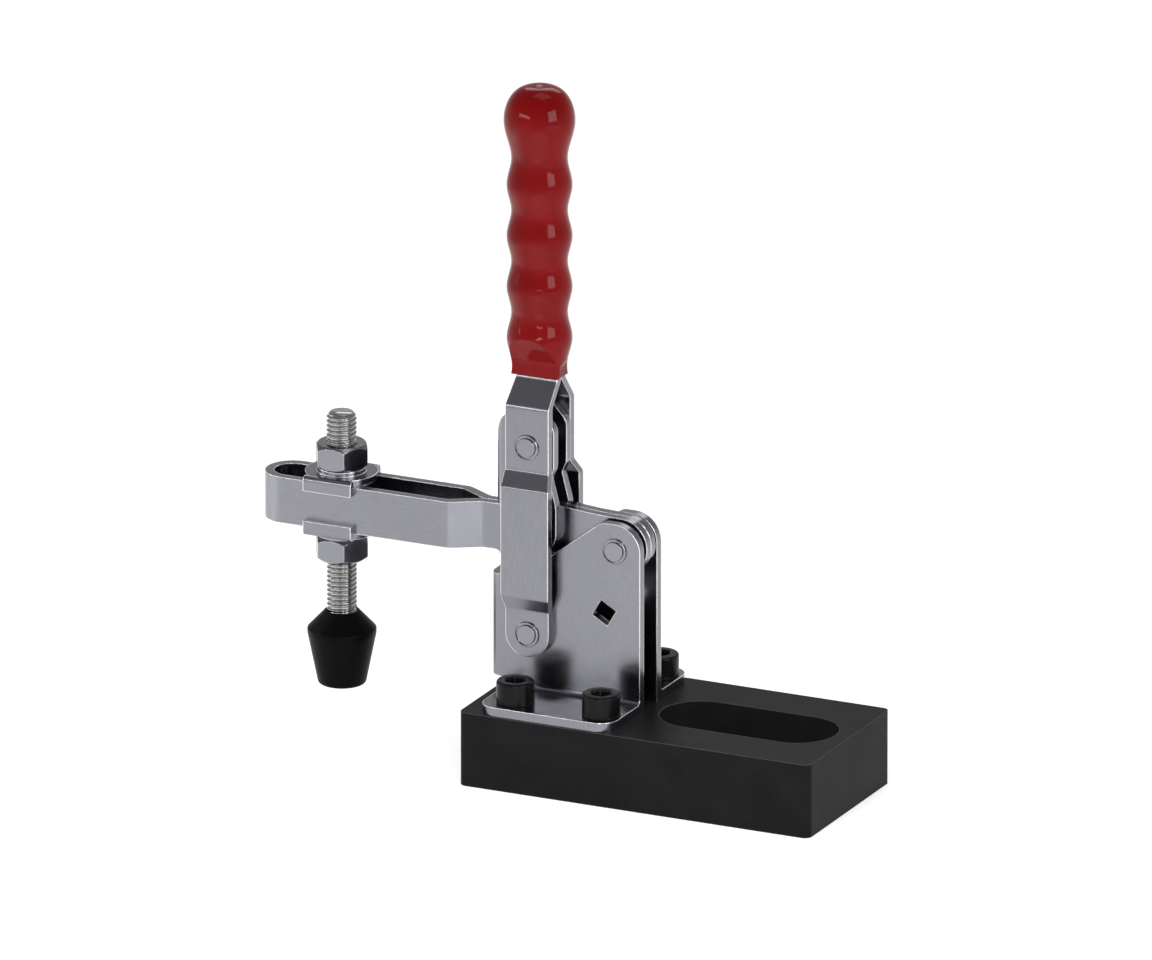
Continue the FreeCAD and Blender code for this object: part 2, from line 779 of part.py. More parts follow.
def make_washer(upward):
    """A saddle washer: a disc with a collar for the nut and two tabs folded over the bar."""
    t = size("washer_sheet")
    radius, play = size("washer_radius"), size("spindle_play")
    seat = BAR_HIGH + play
    disc = Part.makeCylinder(radius, t, Vector(SPINDLE_X, 0, seat))
    side_face = size("bar_outer") / 2 + play
    limit = side_face + t
    disc = disc.common(Part.makeBox(4 * radius, 2 * limit, 4 * t, Vector(SPINDLE_X - 2 * radius, -limit, seat - t)))
    collar = Part.makeCylinder(size("collar_radius"), size("collar_height"), Vector(SPINDLE_X, 0, seat + t))
    washer = disc.fuse(collar)
    half_tab, drop = size("tab_width") / 2, size("tab_height")
    for sign in (-1, 1):
        near = side_face if sign > 0 else -limit
        tab = Part.makeBox(2 * half_tab, t, drop, Vector(SPINDLE_X - half_tab, near, seat + t - drop))
        washer = washer.fuse(tab)
    washer = washer.removeSplitter()
    folds = [edge for edge in washer.Edges if is_fold(edge, limit, seat + t)]
    washer = washer.makeFillet(t - 0.5, folds)
    bore = Part.makeCylinder(size("spindle_radius") + play, 10 * t, Vector(SPINDLE_X, 0, seat - 2 * t))
    washer = washer.cut(bore)
    if not upward:
        washer = washer.mirror(Vector(0, 0, (BAR_LOW + BAR_HIGH) / 2), Vector(0, 0, 1))
    return washer


def is_fold(edge, limit, level):
    """True for the outer corner where a washer's tab turns down."""
    box = edge.BoundBox
    along = box.YLength < 0.01 and box.ZLength < 0.01 and box.XLength > size("tab_width") / 2
    return along and abs(abs(box.YMin) - limit) < 0.01 and abs(box.ZMin - level) < 0.01


def make_tip():
    """The rubber tip: a short cone over a long taper, with a blind hole for the rod."""
    bottom = DECK + size("tip_bottom")
    top = bottom + size("tip_height")
    radius, foot, neck = size("tip_radius"), size("tip_foot"), size("tip_neck")
    wide_top = top - size("tip_cone")
    outline = [
        (SPINDLE_X, bottom, 0),
        (SPINDLE_X + foot, bottom, 1.0),
        (SPINDLE_X + radius, wide_top - size("tip_band"), 0.5),
        (SPINDLE_X + radius, wide_top, 0.5),
        (SPINDLE_X + neck, top, 0),
        (SPINDLE_X, top, 0),
    ]
    face = rounded_outline(outline, lambda p: Vector(p.x, 0, p.y))
    tip = face.revolve(Vector(SPINDLE_X, 0, 0), Vector(0, 0, 1), 360)
    hole = size("spindle_radius") + size("spindle_play")
    depth = size("tip_cover") + size("spindle_play")
    return keep("rubber_tip", tip.cut(Part.makeCylinder(hole, depth + 1, Vector(SPINDLE_X, 0, top - depth))))


def nut_seat(side):
    """The Z expression of a nut's underside, above or below the bar."""
    bar_low = "sizes.block_height + sizes.bar_up"
    stack = "sizes.spindle_play + sizes.washer_sheet + sizes.collar_height"
    if side == "upper":
        return f"{bar_low} + sizes.bar_depth + {stack}"
    return f"{bar_low} - ({stack}) - sizes.nut_height"


plate = make_plate()
link = make_link()
pieces = [
    make_block(),
    make_base(),
    make_screws(),
    keep("handle_plate_front", plate),
    keep("handle_plate_rear", mirror_side(plate)),
    make_grip(),
    make_bar(),
    keep("link_front", link),
    keep("link_rear", mirror_side(link)),
    make_rivet("lower_pivot", "low", "sizes.base_outer / 2 + 2 * sizes.side_play + sizes.plate_sheet"),
    make_rivet("upper_pivot", "high", "sizes.plate_inner + sizes.plate_sheet + sizes.pin_play"),
    make_rivet("bar_pivot", "rear", "sizes.base_outer / 2 + sizes.pin_play"),
    make_link_pin(),
    make_spacers(),
    make_spindle(),
    make_nut("upper_nut", nut_seat("upper")),
    make_nut("lower_nut", nut_seat("lower")),
    keep("upper_washer", make_washer(True)),
    keep("lower_washer", make_washer(False)),
    make_tip(),
]

doc.recompute()
for item in doc.Objects:
    if "Invalid" in item.State or "Error" in item.State:
        raise RuntimeError(f"{item.Label} failed to compute")
os.makedirs("parts", exist_ok=True)
for piece in pieces:
    shape = piece.Shape
    if shape.isNull() or not shape.isValid() or not shape.Solids:
        raise RuntimeError(f"{piece.Label} has no valid solid")
    shape.exportStep(f"parts/{piece.Label}.step")
    print(f"{piece.Label}: {len(shape.Solids)} solid, {shape.Volume:.1f} mm3")
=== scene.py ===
"""Looks of a toggle clamp with an upright red handle, on a black slotted block."""

import logging
import math
from dataclasses import dataclass, fields
from enum import Enum
from typing import Callable, Sequence

import bmesh
import bpy
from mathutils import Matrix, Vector

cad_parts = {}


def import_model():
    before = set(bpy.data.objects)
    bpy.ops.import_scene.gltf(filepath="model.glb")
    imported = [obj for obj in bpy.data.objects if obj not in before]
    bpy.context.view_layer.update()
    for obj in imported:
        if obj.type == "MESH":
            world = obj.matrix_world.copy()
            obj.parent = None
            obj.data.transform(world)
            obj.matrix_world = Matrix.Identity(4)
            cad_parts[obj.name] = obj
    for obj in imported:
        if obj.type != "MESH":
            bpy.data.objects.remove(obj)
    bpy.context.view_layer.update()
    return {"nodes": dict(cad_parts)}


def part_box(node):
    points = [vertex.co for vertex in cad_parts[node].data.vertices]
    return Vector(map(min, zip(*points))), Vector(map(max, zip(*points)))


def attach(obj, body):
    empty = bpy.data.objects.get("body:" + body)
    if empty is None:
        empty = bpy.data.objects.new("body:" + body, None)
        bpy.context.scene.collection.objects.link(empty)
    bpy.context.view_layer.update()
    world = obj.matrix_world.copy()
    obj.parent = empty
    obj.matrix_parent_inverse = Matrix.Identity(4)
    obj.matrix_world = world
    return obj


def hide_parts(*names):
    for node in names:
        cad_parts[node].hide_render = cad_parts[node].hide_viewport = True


LOG = logging.getLogger("toggle_clamp")
MM = 0.001
FULL_TURN = 2 * math.pi
Point = tuple[float, float]
Triple = tuple[float, float, float]
Place = Callable[[float, float, float], Vector]

# noise: octaves of a fine and a soft pattern, and the range that holds most of its values
FINE = 4.0
SOFT = 2.0
PATTERN_LOW = 0.3
PATTERN_HIGH = 0.7

# painted edge highlights: agreement of the softened normal with the face's, where the painted highlight
# starts and is full
EDGE_HIGHLIGHT_STARTS = 0.985
EDGE_HIGHLIGHT_FULL = 0.86
EDGE_HIGHLIGHT_SAMPLES = 8
SOFTEN_SAMPLES = 6

# places of the factor and colour sockets on a Mix node
MIX_FACTOR = 0
MIX_A = 6
MIX_B = 7
MIX_COLOUR = 2

# least distance from the axis that the thread's rule divides by, in metres
ON_AXIS = 1e-6

# the body that each rivet goes with, by the rivet's CAD node
RIVET_BODIES = {"lower_pivot": "base", "bar_pivot": "base", "upper_pivot": "handle"}

# which kept nodes wear which finish, by its field in FinishSet
WEARERS = {
    "steel_upright": ("base_channel", "handle_plate_front", "handle_plate_rear", "link_front", "link_rear"),
    "steel_along": ("u_bar", "upper_washer", "lower_washer", "bar_spacers"),
    "steel_turned": ("link_pivot",),
    "block": ("base_block",),
    "rubber": ("rubber_tip",),
    "grip": ("handle_grip",),
}


class Grain(Enum):
    """Which way the rolling marks of a steel piece run, as stretch along each axis."""

    ALONG = (0.04, 1.0, 1.0)
    UPRIGHT = (1.0, 1.0, 0.04)
    TURNED = (1.0, 1.0, 1.0)


class NodeTree:
    """A short way to add and wire nodes in a shader or geometry tree."""

    def __init__(self, tree: bpy.types.NodeTree) -> None:
        """Keep the tree that the nodes go into."""
        self.tree = tree

    def add(self, kind: str, **settings: object) -> bpy.types.Node:
        """Add one node.

        Args:
            kind: the node's type name.
            settings: properties set on the node.

        Returns:
            The new node.
        """
        node = self.tree.nodes.new(kind)
        for name, value in settings.items():
            setattr(node, name, value)
        return node

    def wire(self, source: bpy.types.NodeSocket, target: bpy.types.NodeSocket) -> None:
        """Join an output socket to an input socket."""
        self.tree.links.new(source, target)

    def math(self, operation: str, *values: object) -> bpy.types.NodeSocket:
        """Add a Math node whose inputs are sockets or numbers.

        Args:
            operation: the node's operation.
            values: its inputs in order.

        Returns:
            The node's output socket.
        """
        node = self.add("ShaderNodeMath", operation=operation)
        for socket, value in zip(node.inputs, values):
            if isinstance(value, bpy.types.NodeSocket):
                self.wire(value, socket)
            else:
                socket.default_value = value
        return node.outputs[0]


class Finish:
    """Common parts of every finish: a Principled shader with object coordinates."""

    def __init__(self, name: str) -> None:
        """Start a new material.

        Args:
            name: the material's name.
        """
        self.material = bpy.data.materials.new(name)
        self.material.use_nodes = True
        self.nodes = NodeTree(self.material.node_tree)
        self.shader = self.material.node_tree.nodes["Principled BSDF"]
        self.coordinates = self.nodes.add("ShaderNodeTexCoord").outputs["Object"]

    def set(self, socket: str, value: float | Sequence[float]) -> None:
        """Set one input of the shader to a value that is the same all over."""
        self.shader.inputs[socket].default_value = value

    def noise(self, scale: float, detail: float, stretch: Triple = (1.0, 1.0, 1.0)) -> bpy.types.NodeSocket:
        """Add a noise pattern in object space.

        Args:
            scale: pattern cells per metre.
            detail: octaves of the noise.
            stretch: scale factor along each axis.

        Returns:
            The noise's factor socket.
        """
        mapping = self.nodes.add("ShaderNodeMapping")
        mapping.inputs["Scale"].default_value = stretch
        self.nodes.wire(self.coordinates, mapping.inputs["Vector"])
        texture = self.nodes.add("ShaderNodeTexNoise")
        texture.inputs["Scale"].default_value = scale
        texture.inputs["Detail"].default_value = detail
        self.nodes.wire(mapping.outputs["Vector"], texture.inputs["Vector"])
        return texture.outputs["Fac"]

    def roughen(self, source: bpy.types.NodeSocket, low: float, high: float) -> None:
        """Vary the roughness with a pattern.

        Args:
            source: the pattern.
            low: the roughness where the pattern is low.
            high: the roughness where the pattern is high.
        """
        span = self.nodes.add("ShaderNodeMapRange")
        span.inputs["From Min"].default_value = PATTERN_LOW
        span.inputs["From Max"].default_value = PATTERN_HIGH
        span.inputs["To Min"].default_value = low
        span.inputs["To Max"].default_value = high
        self.nodes.wire(source, span.inputs["Value"])
        self.nodes.wire(span.outputs["Result"], self.shader.inputs["Roughness"])

    def tint(self, source: bpy.types.NodeSocket, dark: Triple, light: Triple) -> None:
        """Vary the base colour between two tones.

        Args:
            source: the pattern.
            dark: the tone where the pattern is low.
            light: the tone where the pattern is high.
        """
        ramp = self.nodes.add("ShaderNodeValToRGB")
        stops = ramp.color_ramp.elements
        for stop, position, tone in zip(stops, (PATTERN_LOW, PATTERN_HIGH), (dark, light)):
            stop.position = position
            stop.color = (*tone, 1)
        self.nodes.wire(source, ramp.inputs["Fac"])
        self.nodes.wire(ramp.outputs["Color"], self.shader.inputs["Base Color"])

    def paint_edge_highlights(self, tone: Triple, radius: float) -> None:
        """Paint a highlight into the base colour along edges and bends, where reflected light would make
        bright lines.

        Args:
            tone: the colour of the painted edge highlight.
            radius: how far from the edge it reaches, in metres.
        """
        soft = self.nodes.add("ShaderNodeBevel", samples=EDGE_HIGHLIGHT_SAMPLES)
        soft.inputs["Radius"].default_value = radius
        agree = self.nodes.add("ShaderNodeVectorMath", operation="DOT_PRODUCT")
        self.nodes.wire(soft.outputs["Normal"], agree.inputs[0])
        self.nodes.wire(self.nodes.add("ShaderNodeNewGeometry").outputs["Normal"], agree.inputs[1])
        span = self.nodes.add("ShaderNodeMapRange")
        span.inputs["From Min"].default_value = EDGE_HIGHLIGHT_STARTS
        span.inputs["From Max"].default_value = EDGE_HIGHLIGHT_FULL
        self.nodes.wire(agree.outputs["Value"], span.inputs["Value"])
        blend = self.nodes.add("ShaderNodeMix", data_type="RGBA")
        base = self.shader.inputs["Base Color"].links[0].from_socket
        self.nodes.wire(span.outputs["Result"], blend.inputs[MIX_FACTOR])
        self.nodes.wire(base, blend.inputs[MIX_A])
        blend.inputs[MIX_B].default_value = (*tone, 1)
        self.nodes.wire(blend.outputs[MIX_COLOUR], self.shader.inputs["Base Color"])

    def relief(self, source: bpy.types.NodeSocket, depth: float, edge: float) -> None:
        """Add fine relief over softened edges.

        Args:
            source: the height pattern.
            depth: its depth in metres.
            edge: radius of the softened edges in metres.
        """
        soft = self.nodes.add("ShaderNodeBevel", samples=SOFTEN_SAMPLES)
        soft.inputs["Radius"].default_value = edge
        bump = self.nodes.add("ShaderNodeBump")
        bump.inputs["Strength"].default_value = 1.0
        bump.inputs["Distance"].default_value = depth
        self.nodes.wire(source, bump.inputs["Height"])
        self.nodes.wire(soft.outputs["Normal"], bump.inputs["Normal"])
        self.nodes.wire(bump.outputs["Normal"], self.shader.inputs["Normal"])


@dataclass(frozen=True)
class Steel:
    """Bright rolled or turned steel with a fine grain and a painted highlight along its edges and bends."""

    name: str
    dark: Triple = (0.195, 0.195, 0.215)
    light: Triple = (0.24, 0.24, 0.265)
    # painted highlight: the near-white colour painted along edges and bends
    edge_highlight: Triple = (0.97, 0.97, 0.98)
    roughness: float = 0.22
    smoother: float = 0.02
    rougher: float = 0.03
    grain: Grain = Grain.UPRIGHT
    streaks: float = 9000.0
    clouds: float = 160.0
    edge: float = 0.45 * MM
    depth: float = 0.0012 * MM

    def build(self) -> bpy.types.Material:
        """Make the material.

        Returns:
            The new material.
        """
        finish = Finish(self.name)
        streaks = finish.noise(self.streaks, FINE, self.grain.value)
        clouds = finish.noise(self.clouds, SOFT)
        finish.tint(streaks, self.dark, self.light)
        finish.roughen(clouds, self.roughness - self.smoother, self.roughness + self.rougher)
        # painted highlight along every edge and bend
        finish.paint_edge_highlights(self.edge_highlight, self.edge)
        finish.set("Metallic", 1.0)
        finish.relief(streaks, self.depth, self.edge)
        return finish.material


@dataclass(frozen=True)
class DarkCoat:
    """A dark surface: a coated block, an oxidised screw or rubber, with a painted highlight along its edges
    where one is set.
    """

    name: str
    dark: Triple
    light: Triple
    roughness: float
    depth: float
    edge: float
    specular: float
    # painted highlight: grey level painted along the edges, none when zero
    edge_highlight: float = 0.0
    smoother: float = 0.05
    rougher: float = 0.07
    grain: float = 2600.0
    clouds: float = 90.0

    def build(self) -> bpy.types.Material:
        """Make the material.

        Returns:
            The new material.
        """
        finish = Finish(self.name)
        grain = finish.noise(self.grain, FINE)
        clouds = finish.noise(self.clouds, SOFT)
        finish.tint(clouds, self.dark, self.light)
        # paint a highlight along the edges when one is set
        if self.edge_highlight:
            finish.paint_edge_highlights((self.edge_highlight, self.edge_highlight, self.edge_highlight), self.edge)
        finish.roughen(clouds, self.roughness - self.smoother, self.roughness + self.rougher)
        finish.set("Specular IOR Level", self.specular)
        finish.relief(grain, self.depth, self.edge)
        return finish.material


@dataclass(frozen=True)
class DippedGrip:
    """Glossy red plastic with a clear, slightly uneven skin."""

    name: str = "dipped_grip_red"
    dark: Triple = (0.19, 0.001, 0.002)
    light: Triple = (0.25, 0.002, 0.003)
    gloss: Point = (0.05, 0.08)
    specular: float = 0.14
    clouds: float = 70.0
    skin: float = 320.0
    skin_stretch: Triple = (1.0, 1.0, 0.6)
    depth: float = 0.01 * MM
    edge: float = 0.5 * MM

    def build(self) -> bpy.types.Material:
        """Make the material.

        Returns:
            The new material.
        """
        finish = Finish(self.name)
        clouds = finish.noise(self.clouds, SOFT)
        skin = finish.noise(self.skin, SOFT, self.skin_stretch)
        finish.tint(clouds, self.dark, self.light)
        finish.roughen(skin, *self.gloss)
        finish.set("Specular IOR Level", self.specular)
        finish.relief(skin, self.depth, self.edge)
        return finish.material


TURNED_DARK = (0.205, 0.205, 0.225)
TURNED_LIGHT = (0.25, 0.25, 0.275)


@dataclass(frozen=True)
class FinishSet:
    """Every finish of the clamp."""

    steel_upright: Steel = Steel("steel_upright_grain")
    steel_along: Steel = Steel("steel_long_grain", roughness=0.2, grain=Grain.ALONG)
    steel_turned: Steel = Steel(
        "steel_turned",
        dark=TURNED_DARK,
        light=TURNED_LIGHT,
        roughness=0.17,
        grain=Grain.TURNED,
        edge=0.14 * MM,
    )
    rivet: Steel = Steel(
        "rivet_steel",
        dark=TURNED_DARK,
        light=TURNED_LIGHT,
        roughness=0.17,
        grain=Grain.TURNED,
        edge=0.05 * MM,
    )
    thread: Steel = Steel(
        "thread_steel",
        dark=(0.33, 0.325, 0.325),
        light=(0.40, 0.395, 0.39),
        roughness=0.18,
        grain=Grain.TURNED,
        edge=0.08 * MM,
    )
    block: DarkCoat = DarkCoat(
        "black_block",
        dark=(0.010, 0.010, 0.011),
        light=(0.014, 0.014, 0.015),
        roughness=0.36,
        depth=0.002 * MM,
        edge=0.45 * MM,
        specular=0.04,
        # painted highlight along the block's edges
        edge_highlight=0.09,
    )
    screw: DarkCoat = DarkCoat(
        "black_screw",
        dark=(0.004, 0.004, 0.004),
        light=(0.007, 0.007, 0.007),
        roughness=0.24,
        depth=0.002 * MM,
        edge=0.3 * MM,
        specular=0.12,
        # painted highlight along the screw heads' edges and rims
        edge_highlight=0.12,
    )
    rubber: DarkCoat = DarkCoat(
        "tip_rubber",
        dark=(0.002, 0.002, 0.002),
        light=(0.003, 0.003, 0.003),
        roughness=0.4,
        depth=0.003 * MM,
        edge=0.5 * MM,
        specular=0.05,
    )
    grip: DippedGrip = DippedGrip()

    def dress(self, nodes: dict[str, bpy.types.Object]) -> dict[str, bpy.types.Material]:
        """Give each kept CAD node its finish.

        Args:
            nodes: the CAD nodes by name.

        Returns:
            Every material by the name of its field.
        """
        materials = {part.name: getattr(self, part.name).build() for part in fields(self)}
        for name, wearers in WEARERS.items():
            for wearer in wearers:
                slots = nodes[wearer].data.materials
                slots.clear()
                slots.append(materials[name])
                LOG.info("%s wears %s", wearer, name)
        return materials


def new_piece(name: str, mesh: bpy.types.Mesh, material: bpy.types.Material) -> bpy.types.Object:
    """Put a mesh in the scene as a piece at the origin.

    Args:
        name: the piece's name.
        mesh: its mesh, with its place in its points.
        material: its finish.

    Returns:
        The new object.
    """
    piece = bpy.data.objects.new(name, mesh)
    bpy.context.scene.collection.objects.link(piece)
    mesh.materials.clear()
    mesh.materials.append(material)
    return piece


def smooth_by_angle(mesh: bpy.types.Mesh, limit: float) -> None:
    """Shade a mesh smooth, with sharp edges above an angle in degrees."""
    mesh.shade_smooth()
    mesh.set_sharp_from_angle(angle=math.radians(limit))


def hexagon_wall(flats: float, angle: float) -> float:
    """Distance from a hexagon's centre to its side in one direction.

    Args:
        flats: the distance across its flats.
        angle: the direction in radians, with a corner at zero.

    Returns:
        The distance.
    """
    sector = FULL_TURN / 6
    return flats / 2 / math.cos(angle % sector - sector / 2)


class RingShell:
    """A closed shell stitched from rings of points about one axis."""

    def __init__(self, sides: int, place: Place) -> None:
        """Start an empty shell.

        Args:
            sides: points round the axis.
            place: maps (across, aside, height) to the scene.
        """
        self.shape = bmesh.new()
        self.place = place
        self.angles = [FULL_TURN * step / sides for step in range(sides)]
        self.rings = []

    def ring(self, radii: Sequence[float], heights: Sequence[float]) -> None:
        """Add a ring with its own radius and height at each angle.

        Args:
            radii: the distance from the axis at each angle.
            heights: the place along the axis at each angle.
        """
        points = zip(radii, self.angles, heights)
        spots = [self.place(r * math.cos(a), r * math.sin(a), height) for r, a, height in points]
        self.rings.append([self.shape.verts.new(spot) for spot in spots])

    def level(self, radii: Sequence[float], height: float) -> None:
        """Add a ring whose points share one height."""
        self.ring(radii, [height] * len(radii))

    def turn(self, profile: Sequence[Point]) -> None:
        """Add a round ring for each point of a profile, or one point where the radius is zero.

        Args:
            profile: (radius, height) points in order.
        """
        for radius, height in profile:
            if radius:
                self.level([radius] * len(self.angles), height)
            else:
                self.rings.append([self.shape.verts.new(self.place(0, 0, height))])

    def stitch(self, low: list[bmesh.types.BMVert], high: list[bmesh.types.BMVert]) -> None:
        """Join two rings with faces; a ring of one point makes triangles.

        Args:
            low: one ring.
            high: the next ring.
        """
        count = len(self.angles)
        for step in range(count):
            after = (step + 1) % count
            corners = [low[step % len(low)], low[after % len(low)]]
            corners += [high[after % len(high)], high[step % len(high)]]
            self.shape.faces.new(list(dict.fromkeys(corners)))

    def mesh(self, name: str, smooth_below: float, looped: bool = False) -> bpy.types.Mesh:
        """Stitch the rings in order into a mesh whose faces point outwards.

        Args:
            name: the mesh's name.
            smooth_below: the angle in degrees above which an edge is sharp.
            looped: whether the last ring joins the first, as round a bore.

        Returns:
            The closed mesh.
        """
        following = self.rings[1:] + (self.rings[:1] if looped else [])
        for low, high in zip(self.rings, following):
            self.stitch(low, high)
        bmesh.ops.recalc_face_normals(self.shape, faces=self.shape.faces)
        mesh = bpy.data.meshes.new(name)
        self.shape.to_mesh(mesh)
        self.shape.free()
        smooth_by_angle(mesh, smooth_below)
        return mesh


class NodeShape:
    """A Geometry Nodes group with named number inputs."""

    def __init__(self, name: str, numbers: dict[str, float]) -> None:
        """Start the group.

        Args:
            name: the group's name.
            numbers: each input's name and value.
        """
        self.group = bpy.data.node_groups.new(name, "GeometryNodeTree")
        self.numbers = numbers
        self.sockets = {}
        for label in numbers:
            socket = self.group.interface.new_socket(label, in_out="INPUT", socket_type="NodeSocketFloat")
            self.sockets[label] = socket.identifier
        self.group.interface.new_socket("Geometry", in_out="OUTPUT", socket_type="NodeSocketGeometry")
        self.nodes = NodeTree(self.group)
        self.entry = self.nodes.add("NodeGroupInput")

    def number(self, label: str) -> bpy.types.NodeSocket:
        """Return the socket of one named input."""
        return self.entry.outputs[label]

    def close(self, geometry: bpy.types.NodeSocket, material: bpy.types.Material) -> None:
        """End the tree in Realize Instances and Set Material.

        Args:
            geometry: the shape so far.
            material: the shape's finish.
        """
        realize = self.nodes.add("GeometryNodeRealizeInstances")
        paint = self.nodes.add("GeometryNodeSetMaterial")
        paint.inputs["Material"].default_value = material
        leave = self.nodes.add("NodeGroupOutput")
        self.nodes.wire(geometry, realize.inputs["Geometry"])
        self.nodes.wire(realize.outputs["Geometry"], paint.inputs["Geometry"])
        self.nodes.wire(paint.outputs["Geometry"], leave.inputs["Geometry"])

    def piece(self, name: str, material: bpy.types.Material) -> bpy.types.Object:
        """Evaluate the group into a piece with a plain mesh and no modifier.

        Args:
            name: the piece's name.
            material: its finish.

        Returns:
            The finished piece.
        """
        made = new_piece(name, bpy.data.meshes.new(name), material)
        modifier = made.modifiers.new(name, "NODES")
        modifier.node_group = self.group
        for label, value in self.numbers.items():
            modifier[self.sockets[label]] = value
        graph = bpy.context.evaluated_depsgraph_get()
        graph.update()
        mesh = bpy.data.meshes.new_from_object(made.evaluated_get(graph), depsgraph=graph)
        made.modifiers.clear()
        made.data = mesh
        return made


@dataclass
class ThreadedSpindle:
    """The spindle with its rolled thread, made by a rule on a plain cylinder."""

    radius: float = 4.0 * MM
    pitch: float = 1.25 * MM
    depth: float = 0.62 * MM
    chamfer: float = 1.0 * MM
    flank: float = 1.25
    root_blend: float = 0.3
    rings_per_turn: int = 12
    sides: int = 48
    smooth_below: float = 50.0

    def threaded(self, shape: NodeShape, spot: Sequence[bpy.types.NodeSocket]) -> bpy.types.NodeSocket:
        """Radius of the rolled thread at a point: a ridge that climbs one pitch in each turn.

        Args:
            shape: the geometry group.
            spot: the point's X, Y and Z.

        Returns:
            The radius's socket.
        """
        nodes = shape.nodes
        x, y, z = spot
        turn = nodes.math("DIVIDE", nodes.math("ARCTAN2", y, x), FULL_TURN)
        climb = nodes.math("DIVIDE", z, shape.number("Pitch"))
        phase = nodes.math("FRACT", nodes.math("SUBTRACT", climb, turn))
        swing = nodes.math("SUBTRACT", nodes.math("MULTIPLY", phase, 2.0), 1.0)
        wave = nodes.math("MULTIPLY", nodes.math("ABSOLUTE", swing), self.flank)
        blended = nodes.math("SMOOTH_MIN", wave, 1.0, self.root_blend)
        cut = nodes.math("MULTIPLY", blended, shape.number("Depth"))
        return nodes.math("SUBTRACT", shape.number("Radius"), cut)

    def moved(self, shape: NodeShape) -> bpy.types.NodeSocket:
        """Place of each point of the rod once the thread and its chamfered top are cut.

        Args:
            shape: the geometry group.

        Returns:
            The position's socket.
        """
        nodes = shape.nodes
        place = nodes.add("ShaderNodeSeparateXYZ")
        nodes.wire(nodes.add("GeometryNodeInputPosition").outputs[0], place.inputs[0])
        x, y, z = place.outputs
        half = nodes.math("DIVIDE", shape.number("Length"), 2.0)
        lead = nodes.math("SUBTRACT", shape.number("Radius"), shape.number("Chamfer"))
        limit = nodes.math("ADD", lead, nodes.math("SUBTRACT", half, z))
        reach = nodes.math("MINIMUM", self.threaded(shape, (x, y, z)), limit)
        squares = nodes.math("ADD", nodes.math("MULTIPLY", x, x), nodes.math("MULTIPLY", y, y))
        share = nodes.math("DIVIDE", reach, nodes.math("MAXIMUM", nodes.math("SQRT", squares), ON_AXIS))
        across = nodes.math("ADD", nodes.math("MULTIPLY", x, share), shape.number("Centre X"))
        lift = nodes.math("ADD", nodes.math("ADD", z, half), shape.number("Foot Z"))
        spot = nodes.add("ShaderNodeCombineXYZ")
        for source, target in zip((across, nodes.math("MULTIPLY", y, share), lift), spot.inputs):
            nodes.wire(source, target)
        return spot.outputs[0]

    def build(self, material: bpy.types.Material) -> bpy.types.Object:
        """Make the threaded rod in the space of its CAD node.

        Args:
            material: the thread's finish.

        Returns:
            The finished piece.
        """
        low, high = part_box("spindle")
        length = high.z - low.z
        numbers = {
            "Radius": self.radius,
            "Pitch": self.pitch,
            "Depth": self.depth,
            "Chamfer": self.chamfer,
            "Length": length,
            "Centre X": (low.x + high.x) / 2,
            "Foot Z": low.z,
        }
        shape = NodeShape("rolled_thread", numbers)
        nodes = shape.nodes
        rod = nodes.add("GeometryNodeMeshCylinder", fill_type="TRIANGLE_FAN")
        rod.inputs["Vertices"].default_value = self.sides
        rod.inputs["Side Segments"].default_value = int(length / self.pitch * self.rings_per_turn)
        nodes.wire(shape.number("Radius"), rod.inputs["Radius"])
        nodes.wire(shape.number("Length"), rod.inputs["Depth"])
        shift = nodes.add("GeometryNodeSetPosition")
        nodes.wire(rod.outputs["Mesh"], shift.inputs["Geometry"])
        nodes.wire(self.moved(shape), shift.inputs["Position"])
        shape.close(shift.outputs["Geometry"], material)
        piece = shape.piece("threaded_spindle", material)
        smooth_by_angle(piece.data, self.smooth_below)
        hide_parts("spindle")
        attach(piece, "spindle_set")
        LOG.info("threaded spindle, %d points", len(piece.data.vertices))
        return piece


